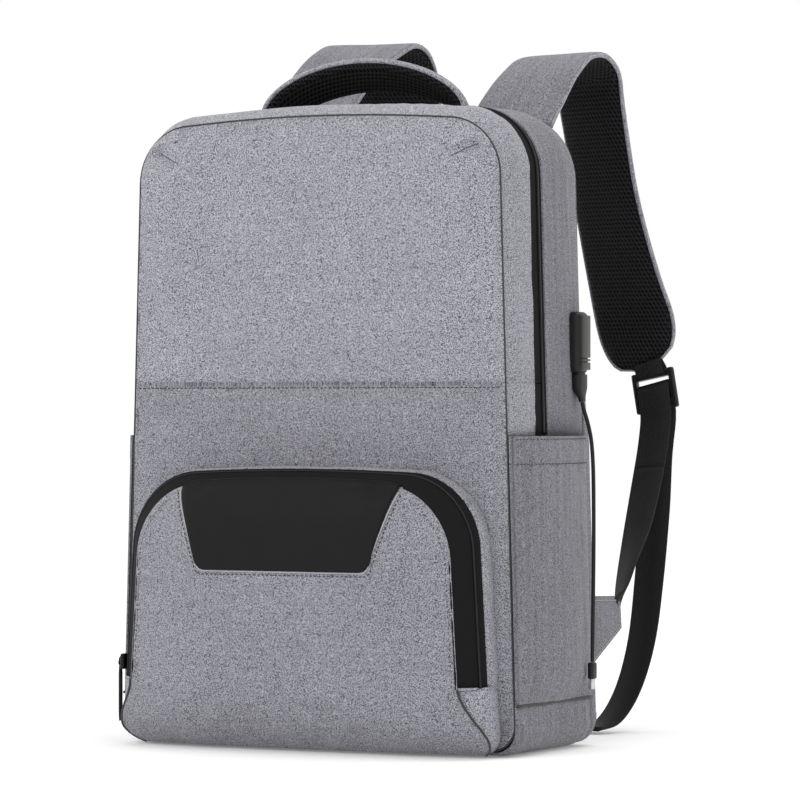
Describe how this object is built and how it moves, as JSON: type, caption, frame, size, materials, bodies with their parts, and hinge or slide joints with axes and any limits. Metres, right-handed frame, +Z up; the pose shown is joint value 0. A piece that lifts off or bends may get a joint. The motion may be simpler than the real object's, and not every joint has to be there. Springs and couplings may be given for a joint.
{
  "type": "laptop backpack with charging port",
  "caption": "Free-standing laptop backpack with a zipped main compartment, stuffed front pocket, side pockets, padded straps and a charging port with cable.",
  "frame": {"origin": "centre of the flat underside, below the middle of the body's depth", "axes": "+Z up, the front faces -Y, the straps are at +Y, the charging port is on the +X side"},
  "size_m": [0.3323, 0.3506, 0.5113],
  "materials": {
    "heather_grey": "matte heather twill",
    "side_grey": "matte heather twill",
    "black_patch": "smooth coated cloth",
    "air_mesh": "knitted spacer mesh",
    "zipper_tape": "woven tape",
    "zipper_coil": "nylon coil",
    "webbing_black": "ribbed webbing",
    "lining": "plain lining cloth",
    "black_plastic": "satin",
    "port_face": "gunmetal satin",
    "slider_metal": "black enamel",
    "cable_jacket": "satin",
    "board": "plain"
  },
  "bodies": {
    "shell": {"base_tub": "side_grey", "base_board": "board", "side_wall_left": "side_grey", "side_wall_right": "side_grey", "front_panel_lower": "heather_grey", "rear_gusset": "side_grey", "back_panel": "side_grey", "back_pad_left": "air_mesh", "back_pad_right": "air_mesh", "laptop_divider": "lining", "piping_lower": "heather_grey", "main_zipper_tape_rear": "zipper_tape", "main_zipper_coil": "zipper_coil", "side_pocket_left": "side_grey", "side_pocket_right": "side_grey", "pocket_tape_rear": "zipper_tape", "pocket_zipper_coil": "zipper_coil", "pocket_tray": "heather_grey", "strap_root_left": "side_grey", "strap_root_right": "side_grey", "anchor_tab_left": "side_grey", "anchor_tab_right": "side_grey", "usb_housing": "black_plastic", "usb_face_plate": "port_face", "usb_socket": "black_plastic", "power_bank": "black_plastic", "power_bank_sleeve": "lining", "internal_plug": "black_plastic", "internal_cable": "cable_jacket"},
    "main_flap": {"front_panel_upper": "heather_grey", "front_gusset": "side_grey", "piping_upper": "heather_grey", "main_zipper_tape_front": "zipper_tape"},
    "pocket_flap": {"pocket_panel": "heather_grey", "pocket_patch": "black_patch", "pocket_tape_front": "zipper_tape"},
    "pocket_slider": {"pocket_slider": "slider_metal"},
    "pocket_puller": {"pocket_puller": "black_plastic"},
    "main_slider": {"main_slider": "slider_metal"},
    "main_puller": {"main_puller": "black_plastic"},
    "handle": {"handle_cover": "side_grey", "handle_pad": "air_mesh"},
    "strap_left": {"strap_cover_left": "side_grey", "strap_pad_left": "air_mesh", "webbing_left": "webbing_black", "tail_left": "webbing_black"},
    "strap_right": {"strap_cover_right": "side_grey", "strap_pad_right": "air_mesh", "webbing_right": "webbing_black", "tail_right": "webbing_black"},
    "adjuster_left": {"adjuster_left": "black_plastic"},
    "adjuster_right": {"adjuster_right": "black_plastic"},
    "charging_plug": {"charging_plug": "black_plastic", "charging_cable": "cable_jacket", "cable_connector": "black_plastic"}
  },
  "joints": [
    {"name": "main_flap_fold", "type": "hinge", "parent": "shell", "child": "main_flap", "pos_m": [0, -0.066, 0.253], "axis": [1, 0, 0], "range_deg": [0, 75]},
    {"name": "pocket_flap_fold", "type": "hinge", "parent": "shell", "child": "pocket_flap", "pos_m": [0, -0.1065, 0.047], "axis": [1, 0, 0], "range_deg": [0, 75]},
    {"name": "pocket_slider_run", "type": "slide", "parent": "shell", "child": "pocket_slider", "axis": [0.0579, 0, 0.9983], "range_m": [0, 0.072]},
    {"name": "pocket_puller_swing", "type": "hinge", "parent": "pocket_slider", "child": "pocket_puller", "pos_m": [-0.14614, -0.0855, 0.058], "axis": [0, 1, 0], "range_deg": [0, 110]},
    {"name": "main_slider_run", "type": "slide", "parent": "shell", "child": "main_slider", "axis": [0.0283, 0, 0.9996], "range_m": [0, 0.115]},
    {"name": "main_puller_swing", "type": "hinge", "parent": "main_slider", "child": "main_puller", "pos_m": [-0.15744, -0.014, 0.267], "axis": [0, 1, 0], "range_deg": [0, 110]},
    {"name": "handle_tip", "type": "hinge", "parent": "shell", "child": "handle", "pos_m": [0, 0.014, 0.4585], "axis": [1, 0, 0], "range_deg": [-30, 30]},
    {"name": "strap_swing_left", "type": "hinge", "parent": "shell", "child": "strap_left", "pos_m": [-0.085, 0.094, 0.462], "axis": [0.1645, -0.0699, 0.9839], "range_deg": [-10, 10]},
    {"name": "adjuster_tilt_left", "type": "hinge", "parent": "strap_left", "child": "adjuster_left", "pos_m": [-0.1225, 0.2275, 0.2635], "axis": [0.9801, -0.0168, -0.1979], "range_deg": [0, 12]},
    {"name": "strap_swing_right", "type": "hinge", "parent": "shell", "child": "strap_right", "pos_m": [0.085, 0.094, 0.462], "axis": [-0.1645, -0.0699, 0.9839], "range_deg": [-10, 10]},
    {"name": "adjuster_tilt_right", "type": "hinge", "parent": "strap_right", "child": "adjuster_right", "pos_m": [0.1225, 0.2275, 0.2635], "axis": [0.9801, 0.0168, 0.1979], "range_deg": [0, 12]},
    {"name": "plug_pull", "type": "slide", "parent": "shell", "child": "charging_plug", "axis": [0, 0, -1], "range_m": [0, 0.013]}
  ]
}
